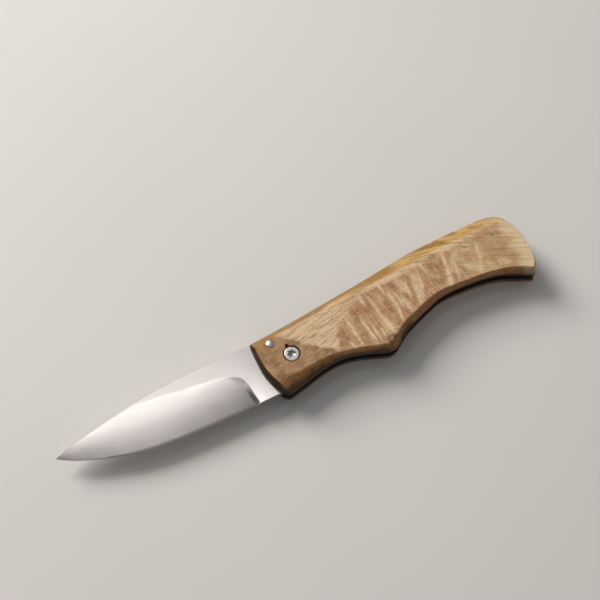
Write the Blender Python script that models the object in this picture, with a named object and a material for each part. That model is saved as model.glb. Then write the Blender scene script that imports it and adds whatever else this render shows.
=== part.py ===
"""Friction folding knife with wooden covers, lying on its back cover with the blade open.

The pivot turns about the Z axis and the flat of the back cover lies at Z = 0. The blade points
along -X, the handle along +X, and the spines of both face +Y. All sizes are in metres.
"""

import bisect
import math

import bmesh
import bpy
from mathutils import Vector
from mathutils.geometry import intersect_line_line_2d

# Handle
handle_length = 0.1175
handle_height = 0.0240
cover_thickness = 0.0040
cover_edge = 0.0012
bevel_width = 0.0040
liner_thickness = 0.0010

# Blade
blade_length = 0.0947
blade_height = 0.0230
blade_stock = 0.0026
shoulder_thickness = 0.0005
edge_bevel = 0.0008
plunge_reach = 0.0068
plunge_radius = 0.0030
plunge_fade = 0.0200
spine_rim = 0.0003
tang_radius = 0.0104

# Pivot, with a plain head on the barrel and a six-lobe socket in the screw
barrel_radius = 0.0022
barrel_wall = 0.0007
head_lip = 0.0008
head_height = 0.0014
head_chamfer = 0.0003
head_gap = 0.0003
head_recess = 0.0001
barrel_floor = 0.0016
barrel_short = 0.0004
screw_reach = 0.0060
thread_play = 0.0001
socket_radius = 0.0016
socket_depth = 0.0009
socket_lobe = 0.00022

# Washers on both sides of the blade
washer_width = 0.0028
washer_thickness = 0.00015
blade_play = 0.00005

# Stop pin
stop_along = -0.0060
stop_up = 0.0068
stop_radius = 0.0015
stop_depth = 0.0022
stop_dome = 0.0003
stop_proud = 0.0001
stop_play = 0.00005
tang_relief = 0.0003

# Backspacer and the hidden pins through it
backspacer_width = 0.0050
backspacer_play = 0.00005
spacer_pin_radius = 0.0010
spacer_pin_depth = 0.0012

# Fits and fineness
pin_play = 0.00005
cut_overrun = 0.0010
seam_gap = 0.00000001
round_steps = 48
small_steps = 24
heel_steps = 6
dome_steps = 5
span_steps = 3
line_steps = 32
blade_steps = 24
backspacer_steps = 36
closing_angle = math.radians(180)
smooth_limit = math.radians(35)

# Outline of the handle, from its top front corner down the front, along the belly and back over
# the spine. Each row: along in handle lengths, up in handle heights, bevel in bevel widths.
front_shares = (
    (-0.110, 0.437, 0.10),
    (-0.109, 0.210, 0.10),
    (-0.105, -0.040, 0.10),
    (-0.096, -0.225, 0.12),
    (-0.084, -0.380, 0.14),
    (-0.068, -0.510, 0.16),
)
belly_shares = (
    (-0.053, -0.558, 1.35),
    (-0.004, -0.498, 1.12),
    (0.036, -0.438, 0.92),
    (0.089, -0.376, 0.70),
    (0.125, -0.347, 0.48),
    (0.160, -0.346, 0.40),
    (0.199, -0.375, 0.40),
    (0.240, -0.430, 0.44),
    (0.281, -0.498, 0.52),
    (0.305, -0.523, 0.60),
    (0.328, -0.500, 0.65),
    (0.350, -0.423, 0.65),
    (0.389, -0.288, 0.60),
    (0.436, -0.182, 0.55),
    (0.482, -0.088, 0.50),
    (0.532, 0.000, 0.40),
    (0.582, 0.034, 0.26),
    (0.645, 0.040, 0.20),
    (0.705, 0.028, 0.22),
    (0.752, -0.006, 0.26),
    (0.802, -0.090, 0.42),
)
back_shares = (
    (0.865, -0.225, 0.35),
    (0.884, -0.070, 0.30),
    (0.891, 0.100, 0.28),
    (0.892, 0.320, 0.28),
    (0.889, 0.550, 0.30),
    (0.877, 0.760, 0.42),
    (0.857, 0.915, 0.72),
    (0.829, 0.998, 1.15),
    (0.785, 1.022, 1.42),
    (0.710, 1.006, 1.36),
    (0.632, 0.978, 1.42),
    (0.553, 0.945, 1.45),
    (0.473, 0.895, 1.40),
    (0.330, 0.765, 1.15),
    (0.193, 0.655, 0.92),
    (0.079, 0.565, 0.80),
    (-0.036, 0.483, 0.78),
)
cover_crown_shares = ((0.30, 0.42), (0.62, 0.76))

# Where the backspacer starts and ends along the back of the handle, from the butt's lower corner,
# and where its three pins sit along its own length
backspacer_end_shares = (0.06, 0.62)
spacer_pin_shares = (0.10, 0.46, 0.93)

# Outlines of the blade from the handle to the tip. Each row: along in blade lengths, up in blade
# heights. The grind line runs on above the spine near the tip, where the bevel reaches the spine.
spine_shares = (
    (0.110, 0.498),
    (0.228, 0.477),
    (0.340, 0.449),
    (0.448, 0.414),
    (0.560, 0.352),
    (0.680, 0.260),
    (0.800, 0.152),
    (0.910, 0.036),
    (1.000, -0.080),
)
grind_shares = (
    (0.258, 0.096),
    (0.304, 0.158),
    (0.370, 0.184),
    (0.440, 0.200),
    (0.530, 0.243),
    (0.630, 0.274),
    (0.770, 0.292),
    (1.000, 0.300),
)
edge_shares = (
    (0.170, -0.506),
    (0.253, -0.518),
    (0.360, -0.540),
    (0.467, -0.552),
    (0.560, -0.553),
    (0.640, -0.540),
    (0.710, -0.501),
    (0.775, -0.439),
    (0.859, -0.338),
    (0.940, -0.212),
    (1.000, -0.080),
)
# The plunge from the grind line down to the heel: how far down, then how far back in plunge reaches
plunge_shares = (
    (0.00, 0.00),
    (0.07, 0.30),
    (0.17, 0.56),
    (0.31, 0.73),
    (0.47, 0.80),
    (0.64, 0.86),
    (0.82, 0.93),
    (1.00, 1.00),
)
plunge_step_shares = (0.04, 0.14, 0.32, 0.60, 1.00)
last_station_share = 0.990

# Heights from the table up
slot_width = blade_stock + 2 * (washer_thickness + blade_play)
slot_floor = cover_thickness + liner_thickness
middle = slot_floor + slot_width / 2
slot_roof = slot_floor + slot_width
front_inner = slot_roof + liner_thickness
front_face = front_inner + cover_thickness
screw_top = front_face - head_recess
screw_floor = screw_top - head_height

# Sizes that follow from the ones above
head_radius = barrel_radius + head_lip
bore_radius = barrel_radius + pin_play
washer_radius = barrel_radius + washer_width
stop_bore_radius = stop_radius + pin_play
spacer_bore_radius = spacer_pin_radius + pin_play
stop_place = (stop_along, stop_up)
stop_distance = math.hypot(stop_along, stop_up)
stop_angle = math.atan2(stop_up, stop_along)
relief_radius = stop_distance - stop_radius - tang_relief


def clear_scene():
    for old in list(bpy.data.objects):
        bpy.data.objects.remove(old, do_unlink=True)


def make_material(name, colour, roughness, metallic):
    material = bpy.data.materials.new(name)
    material.use_nodes = True
    shader = material.node_tree.nodes["Principled BSDF"]
    shader.inputs["Base Color"].default_value = (*colour, 1)
    shader.inputs["Roughness"].default_value = roughness
    shader.inputs["Metallic"].default_value = metallic
    material.diffuse_color = (*colour, 1)
    return material


def make_object(name, mesh, material=None, height=0, smooth=False):
    """An object of this mesh on the pivot's axis, at this height."""
    built = bpy.data.objects.new(name, mesh)
    bpy.context.scene.collection.objects.link(built)
    built.location.z = height
    if material:
        mesh.materials.append(material)
    if smooth:
        mesh.shade_smooth()
        mesh.set_sharp_from_angle(angle=smooth_limit)
    return built


def mesh_from(name, shape):
    """A mesh of this bmesh, with its faces turned outwards."""
    bmesh.ops.recalc_face_normals(shape, faces=shape.faces)
    mesh = bpy.data.meshes.new(name)
    shape.to_mesh(mesh)
    shape.free()
    return mesh


def smooth_path(points, steps):
    """Points on a smooth curve through these ones, with so many steps to each span."""
    points = [Vector(point) for point in points]
    gaps = [math.sqrt((b - a).length) for a, b in zip(points, points[1:])]
    slopes = [(b - a) / gap for a, b, gap in zip(points, points[1:], gaps)]
    tangents = [slopes[0]]
    for i in range(1, len(slopes)):
        weight = gaps[i - 1] / (gaps[i - 1] + gaps[i])
        tangents.append(slopes[i - 1].lerp(slopes[i], weight))
    tangents.append(slopes[-1])
    path = []
    for i, gap in enumerate(gaps):
        for step in range(steps):
            t = step / steps
            swing = t * t * (3 - 2 * t)
            leave = t * (1 - t) * (1 - t) * gap
            arrive = t * t * (t - 1) * gap
            place = points[i].lerp(points[i + 1], swing)
            path.append(place + tangents[i] * leave + tangents[i + 1] * arrive)
    path.append(points[-1])
    return path


def spread(path, shares):
    """Points on the path at these shares of its length."""
    lengths = [0]
    for start, end in zip(path, path[1:]):
        lengths.append(lengths[-1] + (end - start).length)
    points = []
    for share in shares:
        length = share * lengths[-1]
        i = min(bisect.bisect_right(lengths, length), len(path) - 1)
        part = (length - lengths[i - 1]) / (lengths[i] - lengths[i - 1])
        points.append(path[i - 1].lerp(path[i], part))
    return points


def resample(path, count):
    """So many points on the path, each the same share of its spans from the next."""
    points = []
    for i in range(count):
        place = i * (len(path) - 1) / (count - 1)
        start = min(int(place), len(path) - 2)
        points.append(path[start].lerp(path[start + 1], place - start))
    return points


def move_left(path, insets):
    """The path with each of its points moved to the left of its way by its own inset."""
    moved = []
    for i, point in enumerate(path):
        before = path[max(i - 1, 0)]
        after = path[min(i + 1, len(path) - 1)]
        way = (after - before).normalized()
        moved.append(point + Vector((-way.y, way.x)) * insets[i])
    return moved


def lengthen(path, reach):
    """The path with a straight run of this reach added at both ends."""
    start_way = (path[0] - path[1]).normalized()
    end_way = (path[-1] - path[-2]).normalized()
    return [path[0] + start_way * reach] + path + [path[-1] + end_way * reach]


def crossing(first, second):
    """Where the end of one path crosses the start of the next, and both of the spans that cross."""
    for i in reversed(range(len(first) - 1)):
        for j in range(len(second) - 1):
            point = intersect_line_line_2d(first[i], first[i + 1], second[j], second[j + 1])
            if point:
                return i, j, point


def handle_sides():
    """The front, the belly and the back as smooth paths, and the bevel's width at each point."""
    tables = (front_shares, belly_shares, back_shares)
    sides = []
    for i, rows in enumerate(tables):
        corner = tables[(i + 1) % len(tables)][0]
        rows = rows + ((corner[0], corner[1], rows[-1][2]),)
        places = [(a * handle_length, u * handle_height, b * bevel_width) for a, u, b in rows]
        points = smooth_path(places, span_steps)
        sides.append(([point.xy for point in points], [point.z for point in points]))
    return sides


def handle_loops():
    """The handle's outline and the edge of its flat inside the bevel, point for point."""
    sides = handle_sides()
    inner = [lengthen(move_left(path, widths), 2 * bevel_width) for path, widths in sides]
    corners = [crossing(inner[i - 1], inner[i]) for i in range(len(inner))]
    outline = []
    flat = []
    for i, (path, _) in enumerate(sides):
        _, first, start = corners[i]
        last, _, end = corners[(i + 1) % len(corners)]
        run = [start] + inner[i][first + 1:last + 1] + [end]
        outline += path[:-1]
        flat += resample(run, len(path))[:-1]
    return outline, flat


def ring(shape, points, height):
    return [shape.verts.new((point.x, point.y, height)) for point in points]


def join_rings(shape, first, second):
    for i in range(len(first)):
        after = (i + 1) % len(first)
        shape.faces.new((first[i], first[after], second[after], second[i]))


def stack_mesh(name, layers):
    """A closed mesh through rings of points, each (points, height), with a flat face on both ends."""
    shape = bmesh.new()
    rings = [ring(shape, points, height) for points, height in layers]
    for first, second in zip(rings, rings[1:]):
        join_rings(shape, first, second)
    shape.faces.new(rings[0])
    shape.faces.new(rings[-1])
    return mesh_from(name, shape)


def plate_mesh(name, points, thickness):
    return stack_mesh(name, [(points, 0), (points, thickness)])


def turned_mesh(name, profile, steps):
    """A round piece, from a profile of (radius, height) that starts and ends on the axis."""
    shape = bmesh.new()
    line = [shape.verts.new((radius, 0, height)) for radius, height in profile]
    edges = [shape.edges.new(pair) for pair in zip(line, line[1:])]
    bmesh.ops.spin(
        shape,
        geom=line + edges,
        cent=(0, 0, 0),
        axis=(0, 0, 1),
        angle=2 * math.pi,
        steps=steps,
        use_merge=True,
    )
    on_axis = [vert for vert in shape.verts if vert.co.xy.length < seam_gap]
    bmesh.ops.remove_doubles(shape, verts=on_axis, dist=seam_gap)
    return mesh_from(name, shape)


def cut(piece, tool):
    """Cut the piece with a tool that the finished knife doesn't show."""
    tool.hide_render = True
    tool.display_type = "WIRE"
    hole = piece.modifiers.new(tool.name, "BOOLEAN")
    hole.operation = "DIFFERENCE"
    hole.solver = "EXACT"
    hole.object = tool


def bore(piece, name, radius, low, high, place=(0, 0), steps=round_steps):
    """A round hole in the piece between two heights."""
    profile = ((0, high), (radius, high), (radius, low), (0, low))
    tool = make_object(name, turned_mesh(name, profile, steps))
    tool.location.xy = place
    cut(piece, tool)


def bore_for_spacer_pins(piece, low, high, pin_places):
    for i, place in enumerate(pin_places):
        name = f"{piece.name}_pin_bore_{i}"
        bore(piece, name, spacer_bore_radius, low, high, place, small_steps)


def cover_mesh(name, outline, flat):
    """A wooden cover with its inner face at height 0 and its beveled face above it."""
    rise = cover_thickness - cover_edge
    layers = [(outline, 0), (outline, cover_edge)]
    for inward, up in cover_crown_shares:
        between = [a.lerp(b, inward) for a, b in zip(outline, flat)]
        layers.append((between, cover_edge + up * rise))
    layers.append((flat, cover_thickness))
    return stack_mesh(name, layers)


def height_at(path, along):
    """How high a path of points runs at this distance along it."""
    for start, end in zip(path, path[1:]):
        if start.x <= along <= end.x:
            share = (along - start.x) / (end.x - start.x)
            return start.y + share * (end.y - start.y)
    return path[-1].y


def blade_line(shares):
    return smooth_path([(a * blade_length, u * blade_height) for a, u in shares], line_steps)


def bevel_stations():
    """Distances of the blade's cross-sections from the pivot, close together in the plunge."""
    start = grind_shares[0][0] * blade_length
    last = last_station_share * blade_length
    near = [start] + [start + share * plunge_radius for share in plunge_step_shares]
    run = last - near[-1]
    far = [near[-1] + run * step / blade_steps for step in range(1, blade_steps + 1)]
    return near + far


def station_rows(along, first, spine, grind, edge):
    """One side of a cross-section, from spine to cutting edge: (along, up, half thickness) rows."""
    half_stock = blade_stock / 2
    half_shoulder = shoulder_thickness / 2
    fade = max(0, 1 - (along - first) / plunge_fade) ** 2
    reach = plunge_reach * fade
    spine_up = height_at(spine, along)
    edge_along = along - reach
    edge_up = height_at(edge, edge_along)
    grind_up = height_at(grind, along)
    taper = min(1, (spine_up - edge_up) / (grind_up - edge_up))
    shoulder_up = edge_up + edge_bevel * taper
    top_up = min(grind_up, spine_up - spine_rim)
    half_spine = max(half_shoulder, half_stock * taper)
    rows = [(along, spine_up, half_spine)]
    for down, back in plunge_shares:
        row_along = along - back * reach
        up = top_up + down * (shoulder_up - top_up)
        half = half_spine + down * (half_shoulder - half_spine)
        wall = first - back * plunge_reach
        depth = min(1, (row_along - wall) / plunge_radius)
        fillet = 1 - math.sqrt(1 - (1 - depth) ** 2)
        rows.append((row_along, up, half + (half_stock - half) * fillet))
    is_heel = along == first
    rows.append((edge_along, edge_up, half_stock if is_heel else 0))
    return rows


def arc(radius, start, end, steps):
    """Points on a circle about the pivot, from one angle to another, both included."""
    angles = [start + (end - start) * step / steps for step in range(steps + 1)]
    return [Vector((radius * math.cos(angle), radius * math.sin(angle))) for angle in angles]


def shoulder_point(radius, angle, side):
    """Where a tang shoulder that leans on the stop pin at this angle crosses this radius."""
    offset = stop_radius + stop_play
    reach = math.sqrt(radius * radius - offset * offset)
    out = Vector((math.cos(angle), math.sin(angle)))
    across = Vector((-out.y, out.x)) * side
    return out * reach + across * offset


def tang_outline(heel, spine_up):
    """The tang from the heel round under the pivot, up over its back and out to the blade's spine."""
    closed_angle = stop_angle - closing_angle
    low_out = shoulder_point(tang_radius, closed_angle, -1)
    low_in = shoulder_point(relief_radius, closed_angle, -1)
    high_in = shoulder_point(relief_radius, stop_angle, 1)
    out = Vector((math.cos(stop_angle), math.sin(stop_angle)))
    offset = Vector((-out.y, out.x)) * (stop_radius + stop_play)
    high_out = out * (spine_up - offset.y) / out.y + offset
    heel_angle = math.atan2(heel.y, heel.x) + math.acos(tang_radius / heel.length)
    low_angle = math.atan2(low_out.y, low_out.x)
    relief_start = math.atan2(low_in.y, low_in.x)
    relief_end = math.atan2(high_in.y, high_in.x)
    points = arc(tang_radius, heel_angle, low_angle, heel_steps)
    points += arc(relief_radius, relief_start, relief_end, small_steps)
    points.append(high_out)
    return points


def blade_mesh(name):
    """The blade at its own mid plane, with the tang as one flat-sided end of the same solid."""
    spine = blade_line(spine_shares)
    grind = blade_line(grind_shares)
    edge = blade_line(edge_shares)
    stations = bevel_stations()
    sections = [station_rows(along, stations[0], spine, grind, edge) for along in stations]
    shape = bmesh.new()

    def side_verts(side):
        return [[shape.verts.new((-a, u, side * half)) for a, u, half in rows] for rows in sections]

    upper = side_verts(1)
    lower = side_verts(-1)
    for above, below in zip(upper[1:], lower[1:]):
        shape.verts.remove(below[-1])
        below[-1] = above[-1]
    tip = shape.verts.new((-blade_length, spine_shares[-1][1] * blade_height, 0))
    for side in (upper, lower):
        for near, far in zip(side, side[1:]):
            for i in range(len(near) - 1):
                shape.faces.new((near[i], near[i + 1], far[i + 1], far[i]))
        for start, end in zip(side[-1], side[-1][1:]):
            shape.faces.new((start, end, tip))
    for i in range(len(stations) - 1):
        shape.faces.new((upper[i][0], upper[i + 1][0], lower[i + 1][0], lower[i][0]))
    shape.faces.new((upper[-1][0], tip, lower[-1][0]))
    shape.faces.new((upper[0][-1], lower[0][-1], upper[1][-1]))

    outline = tang_outline(upper[0][-1].co.xy, spine[0].y)
    top = ring(shape, outline, blade_stock / 2)
    bottom = ring(shape, outline, -blade_stock / 2)
    shape.faces.new(top + upper[0])
    shape.faces.new(bottom + lower[0])
    for i in range(len(outline) - 1):
        shape.faces.new((top[i], top[i + 1], bottom[i + 1], bottom[i]))
    shape.faces.new((top[-1], upper[0][0], lower[0][0], bottom[-1]))
    shape.faces.new((upper[0][-1], top[0], bottom[0], lower[0][-1]))
    return mesh_from(name, shape)


def build_blade(steel):
    pivot = bpy.data.objects.new("blade_pivot", None)
    bpy.context.scene.collection.objects.link(pivot)
    pivot.location.z = middle
    blade = make_object("blade", blade_mesh("blade"), steel, smooth=True)
    blade.parent = pivot
    bore(blade, "blade_bore", bore_radius, slot_floor - cut_overrun, slot_roof + cut_overrun)


def build_front_cover(outline, flat, wood, pin_places):
    cover = make_object("front_cover", cover_mesh("front_cover", outline, flat), wood, front_inner)
    low = front_inner - cut_overrun
    high = front_face + cut_overrun
    bore(cover, "front_bore", bore_radius, low, high)
    bore(cover, "screw_seat", head_radius + head_gap, screw_floor, high)
    bore(cover, "front_stop_bore", stop_bore_radius, low, high, stop_place, small_steps)
    bore_for_spacer_pins(cover, low, front_inner + spacer_pin_depth, pin_places)


def build_back_cover(outline, flat, wood, pin_places):
    """The back cover is the front one turned face down."""
    mesh = cover_mesh("back_cover", outline, flat)
    for vert in mesh.vertices:
        vert.co.z = cover_thickness - vert.co.z
    mesh.flip_normals()
    cover = make_object("back_cover", mesh, wood)
    low = -cut_overrun
    high = cover_thickness + cut_overrun
    stop_floor = cover_thickness - stop_depth
    bore(cover, "back_bore", bore_radius, low, high)
    bore(cover, "barrel_seat", head_radius + pin_play, low, head_height)
    bore(cover, "back_stop_bore", stop_bore_radius, stop_floor, high, stop_place, small_steps)
    bore_for_spacer_pins(cover, cover_thickness - spacer_pin_depth, high, pin_places)


def build_liners(outline, fibre, pin_places):
    for name, height in (("back_liner", cover_thickness), ("front_liner", slot_roof)):
        liner = make_object(name, plate_mesh(name, outline, liner_thickness), fibre, height)
        low = height - cut_overrun
        high = height + liner_thickness + cut_overrun
        bore(liner, f"{name}_bore", bore_radius, low, high)
        bore(liner, f"{name}_stop_bore", stop_bore_radius, low, high, stop_place, small_steps)
        bore_for_spacer_pins(liner, low, high, pin_places)


def backspacer_edges():
    """The strip's outer edge on the back of the handle, and its inner edge one width inside."""
    back, _ = handle_sides()[-1]
    start, end = backspacer_end_shares
    steps = range(backspacer_steps + 1)
    outer = spread(back, [start + (end - start) * step / backspacer_steps for step in steps])
    inner = move_left(outer, [backspacer_width] * len(outer))
    return outer, inner


def build_backspacer(fibre, pin_places):
    outer, inner = backspacer_edges()
    thickness = slot_width - 2 * backspacer_play
    mesh = plate_mesh("backspacer", outer + inner[::-1], thickness)
    spacer = make_object("backspacer", mesh, fibre, slot_floor + backspacer_play)
    bore_for_spacer_pins(spacer, slot_floor - cut_overrun, slot_roof + cut_overrun, pin_places)


def spacer_pin_places():
    """Places along the middle of the backspacer, from the butt forwards."""
    outer, inner = backspacer_edges()
    centre_line = [a.lerp(b, 0.5) for a, b in zip(outer, inner)]
    return spread(centre_line, spacer_pin_shares)


def build_spacer_pins(steel, pin_places):
    low = cover_thickness - spacer_pin_depth + pin_play
    high = front_inner + spacer_pin_depth - pin_play
    names = ("spacer_pin_rear", "spacer_pin_middle", "spacer_pin_front")
    profile = ((0, high), (spacer_pin_radius, high), (spacer_pin_radius, low), (0, low))
    for name, place in zip(names, pin_places):
        pin = make_object(name, turned_mesh(name, profile, small_steps), steel, smooth=True)
        pin.location.xy = place


def build_stop_pin(steel):
    rim = front_face + stop_proud
    ball = (stop_radius * stop_radius + stop_dome * stop_dome) / (2 * stop_dome)
    centre = rim + stop_dome - ball
    profile = [(0, rim + stop_dome)]
    for step in range(1, dome_steps + 1):
        radius = stop_radius * step / dome_steps
        profile.append((radius, centre + math.sqrt(ball * ball - radius * radius)))
    low = cover_thickness - stop_depth + pin_play
    profile += [(stop_radius, low), (0, low)]
    pin = make_object("stop_pin", turned_mesh("stop_pin", profile, small_steps), steel, smooth=True)
    pin.location.xy = stop_place


def build_washers(bronze):
    seats = (("back_washer", slot_floor), ("front_washer", slot_roof - washer_thickness))
    top = washer_thickness
    for name, height in seats:
        disc = ((0, top), (washer_radius, top), (washer_radius, 0), (0, 0))
        mesh = turned_mesh(name, disc, round_steps)
        washer = make_object(name, mesh, bronze, height, smooth=True)
        high = height + washer_thickness + cut_overrun
        bore(washer, f"{name}_bore", bore_radius, height - cut_overrun, high)


def build_pivot_barrel(steel):
    """The barrel, with its plain head at the back and its mouth under the screw's head."""
    mouth = screw_floor - barrel_short
    inside = barrel_radius - barrel_wall
    shoulder = head_height - pin_play
    profile = (
        (0, barrel_floor),
        (inside, barrel_floor),
        (inside, mouth),
        (barrel_radius, mouth),
        (barrel_radius, shoulder),
        (head_radius, shoulder),
        (head_radius, head_chamfer),
        (head_radius - head_chamfer, 0),
        (0, 0),
    )
    mesh = turned_mesh("pivot_barrel", profile, round_steps)
    make_object("pivot_barrel", mesh, steel, smooth=True)


def socket_tool():
    """A six-lobe socket that reaches down into the screw's head."""
    steps = 2 * round_steps
    middle_radius = socket_radius - socket_lobe
    points = []
    for step in range(steps):
        angle = 2 * math.pi * step / steps
        radius = middle_radius + socket_lobe * math.cos(6 * angle)
        points.append(Vector((radius * math.cos(angle), radius * math.sin(angle))))
    mesh = plate_mesh("socket", points, socket_depth + cut_overrun)
    return make_object("socket", mesh, height=screw_top - socket_depth)


def build_pivot_screw(steel):
    shank = barrel_radius - barrel_wall - thread_play
    tip = screw_floor - screw_reach
    profile = (
        (0, screw_top),
        (head_radius - head_chamfer, screw_top),
        (head_radius, screw_top - head_chamfer),
        (head_radius, screw_floor),
        (shank, screw_floor),
        (shank, tip),
        (0, tip),
    )
    mesh = turned_mesh("pivot_screw", profile, round_steps)
    screw = make_object("pivot_screw", mesh, steel, smooth=True)
    cut(screw, socket_tool())


def main():
    clear_scene()
    blade_steel = make_material("blade_steel", (0.62, 0.61, 0.60), 0.28, 1.0)
    bright_steel = make_material("bright_steel", (0.72, 0.71, 0.70), 0.25, 1.0)
    wood = make_material("figured_wood", (0.56, 0.40, 0.24), 0.45, 0.0)
    fibre = make_material("black_fibre", (0.03, 0.03, 0.03), 0.60, 0.0)
    bronze = make_material("bronze", (0.62, 0.40, 0.18), 0.35, 1.0)
    outline, flat = handle_loops()
    pin_places = spacer_pin_places()
    build_blade(blade_steel)
    build_front_cover(outline, flat, wood, pin_places)
    build_back_cover(outline, flat, wood, pin_places)
    build_liners(outline, fibre, pin_places)
    build_backspacer(fibre, pin_places)
    build_spacer_pins(bright_steel, pin_places)
    build_stop_pin(bright_steel)
    build_washers(bronze)
    build_pivot_barrel(bright_steel)
    build_pivot_screw(bright_steel)


main()
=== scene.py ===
"""Friction folding knife with beveled covers of figured wood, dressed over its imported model.

The pivot turns about the Z axis and the flat of the back cover lies on the floor at Z = 0. The
blade points along -X, the handle along +X, and the spines of both face +Y. All sizes are in
metres, and the places of the wood's figure are in millimetres.
"""

import bisect
import math

import bmesh
import bpy
from mathutils import Matrix, Vector
from mathutils.geometry import intersect_line_line_2d


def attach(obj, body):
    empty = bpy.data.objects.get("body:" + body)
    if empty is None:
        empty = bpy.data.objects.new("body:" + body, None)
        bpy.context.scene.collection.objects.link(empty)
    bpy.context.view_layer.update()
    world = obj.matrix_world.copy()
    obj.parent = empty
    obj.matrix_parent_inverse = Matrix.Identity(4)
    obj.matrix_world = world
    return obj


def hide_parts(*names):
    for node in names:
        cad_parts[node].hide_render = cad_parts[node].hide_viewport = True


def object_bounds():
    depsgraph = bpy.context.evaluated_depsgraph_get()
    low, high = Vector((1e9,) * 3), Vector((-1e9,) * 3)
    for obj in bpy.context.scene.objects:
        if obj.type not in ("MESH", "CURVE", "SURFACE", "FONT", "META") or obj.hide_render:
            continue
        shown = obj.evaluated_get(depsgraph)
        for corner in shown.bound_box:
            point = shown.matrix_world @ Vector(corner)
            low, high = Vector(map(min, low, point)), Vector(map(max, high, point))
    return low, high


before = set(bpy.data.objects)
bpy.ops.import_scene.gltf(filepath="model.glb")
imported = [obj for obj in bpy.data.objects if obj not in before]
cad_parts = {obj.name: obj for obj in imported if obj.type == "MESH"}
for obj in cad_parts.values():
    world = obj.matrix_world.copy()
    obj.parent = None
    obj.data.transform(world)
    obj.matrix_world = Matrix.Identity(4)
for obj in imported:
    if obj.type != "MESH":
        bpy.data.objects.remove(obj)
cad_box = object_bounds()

# Handle, in the model's own sizes
handle_length = 0.1175
handle_height = 0.0240
cover_thickness = 0.0040
cover_edge = 0.0012
bevel_width = 0.0040
liner_thickness = 0.0010

# Blade
blade_length = 0.0947
blade_height = 0.0230
blade_stock = 0.0026
shoulder_thickness = 0.0004
edge_bevel = 0.0004
plunge_reach = 0.0068
plunge_radius = 0.0030
plunge_fade = 0.0200
spine_rim = 0.0003
spine_ease = 0.00018
tang_radius = 0.0104

# Pivot
barrel_radius = 0.0022
barrel_wall = 0.0007
head_lip = 0.0008
head_height = 0.0014
head_chamfer = 0.0003
head_gap = 0.0003
head_recess = 0.0001
barrel_floor = 0.0016
barrel_short = 0.0004
screw_reach = 0.0060
thread_play = 0.0001
socket_radius = 0.0016
socket_depth = 0.0009

# The six-lobe socket's outline in socket radii, and how it narrows at its floor
socket_lobes = 6
socket_mean = 0.95
socket_swing = 0.12
lobe_power = 0.8
socket_narrow = 0.93
socket_narrow_depth = 0.00004
socket_cone = 0.05
socket_cone_depth = 0.00022
socket_steps = 384

# A nick that the drill left beside the screw's seat
nick_place = (-0.0006, 0.0037)
nick_radius = 0.0007
nick_depth = 0.0012

# Washers, stop pin and backspacer
washer_width = 0.0028
washer_thickness = 0.00015
blade_play = 0.00005
stop_along = -0.0060
stop_up = 0.0068
stop_radius = 0.0015
stop_depth = 0.0022
stop_dome = 0.0003
stop_proud = 0.0001
stop_play = 0.00005
stop_rim = 0.0001
stop_foot = 0.0002
dome_steps = 12
tang_relief = 0.0003
backspacer_width = 0.0050
backspacer_play = 0.00005
spacer_pin_radius = 0.0010
spacer_pin_depth = 0.0012
spacer_pin_ease = 0.00015
spacer_pin_end = 0.88
spacer_pin_sides = 40
spacer_pin_steepness = 0.5
backspacer_steps = 160

# Fits and fineness
pin_play = 0.00005
cut_overrun = 0.0010
seam_gap = 0.00000001
rim_ease = 0.00012
corner_share = 0.4
corner_steps = 3
round_steps = 96
arc_steps = 40
span_steps = 9
line_steps = 24
blade_steps = 150
closing_angle = math.radians(180)
smooth_limit = math.radians(28)
level_limit = 0.999999

# Millimetres in a metre, and the shares of a place that keep it in the plane of the covers
millimetres = 1000
in_plane = (1, 1, 0)

# The eased rim at the mouth of a hole, from the face down: outward, then down, in rim eases
rim_shares = ((1.5, 0.0), (0.4, 0.6), (0.0, 1.6))

# Outline of the handle: along in handle lengths, up in handle heights, bevel in bevel widths
front_shares = (
    (-0.110, 0.437, 0.20),
    (-0.109, 0.210, 0.24),
    (-0.105, -0.040, 0.28),
    (-0.096, -0.225, 0.30),
    (-0.084, -0.380, 0.32),
    (-0.068, -0.510, 0.34),
)
belly_shares = (
    (-0.053, -0.558, 1.35),
    (-0.004, -0.498, 1.12),
    (0.036, -0.438, 0.92),
    (0.089, -0.376, 0.70),
    (0.125, -0.347, 0.48),
    (0.160, -0.346, 0.40),
    (0.199, -0.375, 0.40),
    (0.240, -0.430, 0.44),
    (0.281, -0.498, 0.52),
    (0.305, -0.523, 0.60),
    (0.328, -0.500, 0.65),
    (0.350, -0.423, 0.65),
    (0.389, -0.288, 0.60),
    (0.436, -0.182, 0.55),
    (0.482, -0.088, 0.50),
    (0.532, 0.000, 0.40),
    (0.582, 0.034, 0.26),
    (0.645, 0.040, 0.20),
    (0.705, 0.028, 0.22),
    (0.752, -0.006, 0.26),
    (0.802, -0.090, 0.42),
)
back_shares = (
    (0.865, -0.225, 0.35),
    (0.884, -0.070, 0.30),
    (0.891, 0.100, 0.28),
    (0.892, 0.320, 0.28),
    (0.889, 0.550, 0.30),
    (0.877, 0.760, 0.42),
    (0.857, 0.915, 0.72),
    (0.829, 0.998, 1.15),
    (0.785, 1.022, 1.42),
    (0.710, 1.006, 1.36),
    (0.632, 0.978, 1.42),
    (0.553, 0.945, 1.45),
    (0.473, 0.895, 1.40),
    (0.330, 0.765, 1.15),
    (0.193, 0.655, 0.92),
    (0.079, 0.565, 0.80),
    (-0.036, 0.483, 0.78),
)

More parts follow.
